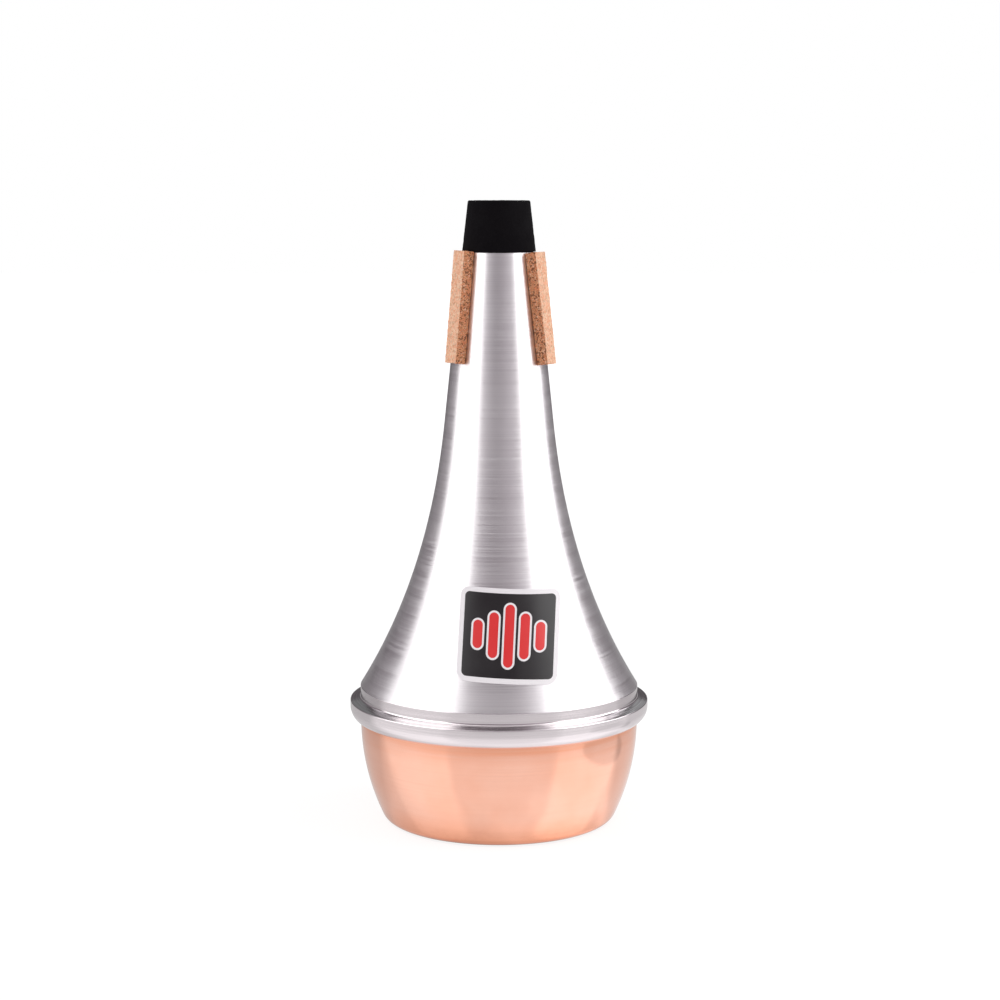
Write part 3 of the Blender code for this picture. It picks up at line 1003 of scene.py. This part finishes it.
# %% Label print
LABEL_WHITE = (0.82, 0.785, 0.81, 1.0)
LABEL_BLACK = (0.014, 0.011, 0.013, 1.0)
LABEL_RED = (0.72, 0.028, 0.030, 1.0)
EDGE_MM = 2.0
BAR_RADIUS_MM = 2.0
OUTLINE_MM = 0.8
BAR_STEP_MM = 6.6
BAR_HALF_LENGTHS_MM = (3.6, 7.0, 10.4, 7.0, 3.6)
VINYL_ROUGHNESS = (0.28, 0.40)

vinyl, tree, shader = new_finish("printed vinyl")
u, v, _ = point_parts(tree, "UV")
right = times(tree, minus(tree, u, 0.5), 1000.0 * LABEL_WIDTH)
up = times(tree, minus(tree, v, 0.5), 1000.0 * LABEL_HEIGHT)


def past(offset, half):
    """How far an offset from the middle goes beyond half a side, or 0 within it."""
    return math_node(tree, "MAXIMUM", minus(tree, math_node(tree, "ABSOLUTE", offset), half), 0.0)


def off_rectangle(middle, half_width, half_height):
    """Distance in millimetres from a rectangle whose middle is moved to the right."""
    return long_side(tree, past(minus(tree, right, middle), half_width), past(up, half_height))


corner_mm = 1000.0 * LABEL_CORNER
off_field = off_rectangle(0.0, 500.0 * LABEL_WIDTH - corner_mm, 500.0 * LABEL_HEIGHT - corner_mm)
bars = [((i - 2) * BAR_STEP_MM, 0.0, half) for i, half in enumerate(BAR_HALF_LENGTHS_MM)]
nearest = off_rectangle(*bars[0])
for bar in bars[1:]:
    nearest = math_node(tree, "MINIMUM", nearest, off_rectangle(*bar))
printed = LABEL_WHITE
for distance, radius, colour in (
    (off_field, corner_mm - EDGE_MM, LABEL_BLACK),
    (nearest, BAR_RADIUS_MM + OUTLINE_MM, LABEL_WHITE),
    (nearest, BAR_RADIUS_MM, LABEL_RED),
):
    printed = mix_colours(tree, math_node(tree, "LESS_THAN", distance, radius), printed, colour)
rubbed = use_group(tree, clouds, Per_Metre=120.0, Detail=3.0)
roughness = spread(tree, rubbed, *NOISE_MIDDLE, *VINYL_ROUGHNESS)
fill(tree, shader, Base_Color=printed, Roughness=roughness)

# %% [markdown]
# ## Dress the frame
#
# Each new piece takes the place of its CAD node, rides on the same body and gets its finish.

# %% Pieces, slots and finishes
dressed = [
    (cone, "cone_shell", "aluminium", aluminium),
    (bowl, "base_bowl", "copper", copper),
    (sleeve, "end_sleeve", "black_rubber", black),
]
dressed += [(strip, name, "cork", cork) for name, strip in corks.items()]
for piece, node, slot, finish in dressed:
    piece.data.materials.clear()
    piece.data.materials.append(finish)
    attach(piece, "root")
    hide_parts(node)
label.data.materials.clear()
label.data.materials.append(vinyl)
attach(label, "root")
print("Pieces on the mute:", len(dressed) + 1)

# %% [markdown]
# ## The studio
#
# Bright metal has no colour of its own to show: it shows the room. The room here is the usual one for
# such a picture, with two tall soft lamps left and right, a grey gap between them where the camera
# stands, and dim walls towards the back. Each part of it gives one stripe on the cone. The walls are
# cards that only reflections can see, so they take no light from the mute and hide nothing from a
# camera on any side. Each lamp says its azimuth and its roll in degrees, its width and its brightness.

# %% Lamps
LAMP_DISTANCE = 1.1
LAMP_HEIGHT = 2.1
LAMP_FOOT = 0.05
LAMPS = {"lamp_left": (-74.0, 0.0, 1.34, 1.12), "lamp_right": (82.0, -2.0, 1.49, 1.55)}


def round_the_mute(azimuth_deg, distance, height):
    """A place round the mute. Azimuth 0 is in front of it, towards the camera."""
    azimuth = math.radians(azimuth_deg)
    return Vector((distance * math.sin(azimuth), -distance * math.cos(azimuth), height))


for name, (azimuth_deg, roll_deg, width, radiance) in LAMPS.items():
    where = round_the_mute(azimuth_deg, LAMP_DISTANCE, LAMP_FOOT + LAMP_HEIGHT / 2.0)
    turns = [math.radians(angle) for angle in (90.0, roll_deg, azimuth_deg)]
    bpy.ops.object.light_add(type="AREA", location=where, rotation=turns)
    lamp = bpy.context.object
    lamp.name = name
    lamp.data.shape = "RECTANGLE"
    lamp.data.size = width
    lamp.data.size_y = LAMP_HEIGHT
    lamp.data.energy = radiance * math.pi * width * LAMP_HEIGHT
    lamp.visible_camera = False
    print(name, "at", tuple(round(x, 2) for x in where), "energy", round(lamp.data.energy, 2))

# %% [markdown]
# A real wall is never evenly lit, and a stripe of one flat grey looks painted on. So each wall card grows
# brighter from a dark line on it towards its sides, fast at first and then more slowly. The dark line in
# front is the gap between the lamps, with the camera in it, and it leans a little. Each wall says its
# azimuth, distance and width, then where its dark line is, how much that leans, how wide the dark is, and
# the two brightnesses.
#
# The small cards are plain. They hang where only the foot of the flare and the flange look: four high in
# front, two high at the sides and two lower down behind. A dark one carries a dark stripe on, and a
# bright one ends it. Each says its azimuth, distance and width, then its foot, height and brightness.

# %% Cards
CARD_RISE = 0.65
CARD_TINT = (1.0, 0.895, 0.965, 1.0)
SMALL_CARD_TINT = (0.98, 0.975, 1.0, 1.0)
CARD_HEIGHT = 2.6
CARDS = {
    "card_front": (2.5, 1.25, 2.30, 0.005, 0.32, 0.70, 0.25, 0.42),
    "card_left": (-124.0, 1.15, 0.66, -0.5, 0.0, 0.9, 0.14, 0.265),
    "card_right": (127.0, 1.15, 0.56, 0.5, 0.0, 0.9, 0.115, 0.225),
    "card_back": (180.0, 1.25, 2.20, 0.0, 0.0, 2.0, 0.12, 0.13),
}
SMALL_CARDS = {
    "card_above_left": (-26.0, 1.0, 0.40, 0.86, 0.22, 0.08),
    "card_edge_left": (-39.2, 1.02, 0.140, 0.90, 0.45, 1.25),
    "card_above_right": (1.0, 1.0, 0.66, 0.86, 0.22, 0.11),
    "card_front_right": (39.5, 1.1, 0.38, 0.82, 0.40, 1.0),
    "card_high_left": (-127.0, 1.08, 0.66, 0.60, 0.16, 1.0),
    "card_high_right": (132.0, 1.08, 0.95, 0.60, 0.16, 2.0),
    "card_back_left": (-168.0, 1.18, 0.50, 0.33, 0.4, 0.22),
    "card_back_right": (168.0, 1.18, 0.50, 0.33, 0.4, 0.38),
}


def empty_tree(owner):
    """The node tree of a material or of the world, with nothing in it."""
    owner.use_nodes = True
    owner.node_tree.nodes.clear()
    return owner.node_tree


def end_with_light(tree, tint, level):
    """Close a tree with a light of this tint and strength."""
    light = add(tree, "ShaderNodeEmission", Color=tint, Strength=level)
    add(tree, "ShaderNodeOutputMaterial", Surface=light)


def wall_light(tree, dark_at, lean, reach, dark, bright):
    """Light that grows from a leaning dark line towards the sides of a card."""
    x, _, z = point_parts(tree)
    line = math_node(tree, "ADD", times(tree, z, lean), dark_at)
    off_line = math_node(tree, "ABSOLUTE", minus(tree, x, line))
    rise = math_node(tree, "POWER", spread(tree, off_line, 0.0, reach), CARD_RISE)
    return between(tree, rise, dark, bright)


def put_card(name, azimuth_deg, distance, width, foot, height):
    """An upright card that faces the mute and shows only in reflections. Returns its empty tree."""
    bpy.ops.mesh.primitive_plane_add(size=1.0)
    card = start_piece(name)
    card.scale = (width, height, 1.0)
    card.rotation_euler.x = math.radians(90.0)
    bpy.ops.object.transform_apply()
    card.location = round_the_mute(azimuth_deg, distance, foot + height / 2.0)
    card.rotation_euler.z = math.radians(azimuth_deg)
    finish = bpy.data.materials.new(name)
    card.data.materials.append(finish)
    for kind in ("camera", "diffuse", "shadow", "transmission", "volume_scatter"):
        setattr(card, "visible_" + kind, False)
    card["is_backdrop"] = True
    print(name, "at", tuple(round(x, 2) for x in card.location))
    return empty_tree(finish)


for name, (azimuth_deg, distance, width, *light) in CARDS.items():
    tree = put_card(name, azimuth_deg, distance, width, 0.0, CARD_HEIGHT)
    end_with_light(tree, CARD_TINT, wall_light(tree, *light))
for name, (*where, level) in SMALL_CARDS.items():
    end_with_light(put_card(name, *where), SMALL_CARD_TINT, level)

# %% [markdown]
# ## Floor and world
#
# The floor is plain and pale. It shows as white, and keeps a soft shadow under the bowl: part of its
# light is its own and part is what falls on it. Its own light grows with the distance, so that it runs
# into the white behind it without a line.
#
# Reflections see another side of it, because the copper mirrors little else: a sheet of paper that is
# white near the mute and greyer further off, the greyest straight in front and straight behind. It is
# dimmer right at the mute's foot, and where the mute stands in the light: behind it, more so on the
# left than on the right, and in a round patch on its right. A slight polish doubles the lamps, and that
# gives the copper its stripes. It is weaker at the back on the left. Names with "reach" are distances
# from the mute's middle, and names with "sides" are distances to its left and right.
#
# The world is white behind the mute, in its reflections and through glass, and gives the rest of the
# room a plain, even light.

# %% Floor
FLOOR_SIZE = 12.0
FLOOR_COLOUR = 0.20
OWN_LIGHT_REACH = (0.3, 2.0)
FLOOR_OWN_LIGHT = (0.85, 1.02)
SHEET_LIGHT = 0.94
FAR_REACH = (0.14, 0.36)
FAR_SIDES = (0.06, 0.30)
SHEET_LIGHT_FAR = (0.57, 0.78)
FOOT_REACH = (0.046, 0.059)
FOOT_SIDES = (0.020, 0.050)
SHEET_LOSS_AT_FOOT = (0.40, 0.14)
GLOW_REACH = (0.085, 0.108)
SHEET_GLOW = 1.03
LEFT_TO_RIGHT = (-0.01, 0.01)
SHADE_LIGHT = (0.68, 0.84)
SHADE_SLOPE = 0.436
SHADE_FROM = (0.100, 0.107)
SHADE_WIDTH = (0.040, 0.010)
SHADE_BACK = 0.006
ROUND_SHADE_AT = (0.195, -0.020, 0.0)
ROUND_SHADE_RADIUS = (0.070, 0.077)
ROUND_SHADE = 0.72
POLISH_REACH = (0.14, 0.30)
FLOOR_POLISH = (0.11, 0.0)
FROM_LEFT = (-0.03, 0.0)
TO_BACK = (-0.11, 0.0)
POLISH_BACK_LEFT = 0.35
POLISH_ROUGHNESS = 0.12


def both_shaders(tree, *shaders):
    """Two shaders added up."""
    return add_by_place(tree, "ShaderNodeAddShader", {}, range(2), shaders)[0]


def one_or_other(tree, *values):
    """A shader, or another one where the share, which comes first, is 1."""
    return add_by_place(tree, "ShaderNodeMixShader", {}, range(3), values)[0]


def seen_through(tree, ray):
    """1 for a ray that a mirror or a glass has sent on."""
    return math_node(tree, "MAXIMUM", ray.outputs["Is Glossy Ray"], ray.outputs["Is Transmission Ray"])


bpy.ops.mesh.primitive_plane_add(size=FLOOR_SIZE)
floor = start_piece("floor")
floor_finish = bpy.data.materials.new("pale floor")
tree = empty_tree(floor_finish)
x, y, _ = point_parts(tree)
point = add(tree, "ShaderNodeTexCoord").outputs["Object"]
off_middle = vector_node(tree, "LENGTH", point, output="Value")
off_round = vector_node(tree, "DISTANCE", point, ROUND_SHADE_AT, output="Value")
sideways = math_node(tree, "ABSOLUTE", x)

lit = add(tree, "ShaderNodeBsdfDiffuse", Color=grey(FLOOR_COLOUR))
own_light = spread(tree, off_middle, *OWN_LIGHT_REACH, *FLOOR_OWN_LIGHT)
own = add(tree, "ShaderNodeEmission", Strength=own_light)
shown = both_shaders(tree, lit, own)

past_side = minus(tree, sideways, spread(tree, x, *LEFT_TO_RIGHT, *SHADE_FROM))
behind = minus(tree, minus(tree, y, times(tree, past_side, SHADE_SLOPE)), SHADE_BACK)
into_shade = math_node(tree, "DIVIDE", behind, spread(tree, x, *LEFT_TO_RIGHT, *SHADE_WIDTH))
shade_loss = minus(tree, 1.0, spread(tree, x, *LEFT_TO_RIGHT, *SHADE_LIGHT))
unshaded = minus(tree, 1.0, times(tree, spread(tree, into_shade, -1.0, 0.0), shade_loss))
far_light = spread(tree, sideways, *FAR_SIDES, *SHEET_LIGHT_FAR)
sheet_light = mix_numbers(tree, spread(tree, off_middle, *FAR_REACH), SHEET_LIGHT, far_light)
foot_loss = spread(tree, sideways, *FOOT_SIDES, *SHEET_LOSS_AT_FOOT)
at_foot = minus(tree, 1.0, times(tree, spread(tree, off_middle, *FOOT_REACH, 1.0, 0.0), foot_loss))
glow = spread(tree, off_middle, *GLOW_REACH, SHEET_GLOW, 1.0)
round_shade = spread(tree, off_round, *ROUND_SHADE_RADIUS, ROUND_SHADE, 1.0)
paper_light = times(tree, sheet_light, at_foot, glow, round_shade, unshaded)
paper = add(tree, "ShaderNodeEmission", Strength=paper_light)

near_polish = spread(tree, off_middle, *POLISH_REACH, *FLOOR_POLISH)
back_left = times(tree, spread(tree, x, *FROM_LEFT, 1.0, 0.0), spread(tree, y, *TO_BACK))
kept_polish = times(tree, near_polish, between(tree, back_left, 1.0, POLISH_BACK_LEFT))
polish = add(tree, "ShaderNodeBsdfGlossy", Color=kept_polish, Roughness=POLISH_ROUGHNESS)
mirrored = both_shaders(tree, paper, polish)

plain = add(tree, "ShaderNodeBsdfDiffuse", Color=grey(0.8))
ray = add(tree, "ShaderNodeLightPath")
camera_or_not = one_or_other(tree, ray.outputs["Is Camera Ray"], plain, shown)
gloss_or_not = one_or_other(tree, seen_through(tree, ray), camera_or_not, mirrored)
add(tree, "ShaderNodeOutputMaterial", Surface=gloss_or_not)
floor.data.materials.append(floor_finish)
floor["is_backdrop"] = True
print("Floor:", FLOOR_SIZE, "m across")

# %% World
ROOM_LIGHT = 0.64

world = bpy.data.worlds.new("studio")
bpy.context.scene.world = world
tree = empty_tree(world)
room = add(tree, "ShaderNodeBackground", Color=(1.0, 0.985, 0.99, 1.0), Strength=ROOM_LIGHT)
white = add(tree, "ShaderNodeBackground", Color=grey(1.0), Strength=1.0)
ray = add(tree, "ShaderNodeLightPath")
seen = math_node(tree, "MAXIMUM", ray.outputs["Is Camera Ray"], seen_through(tree, ray))
add(tree, "ShaderNodeOutputWorld", Surface=one_or_other(tree, seen, room, white))
bpy.context.scene.view_settings.view_transform = "Standard"
print("Room light:", ROOM_LIGHT)

# %% [markdown]
# ## Sizes
#
# The dressed mute is meant to be as large as the CAD model and no larger. The size of its box is
# printed in millimetres.

# %% Finish
low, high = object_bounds()
print("Dressed box in mm:", [round(1000 * side, 2) for side in high - low])
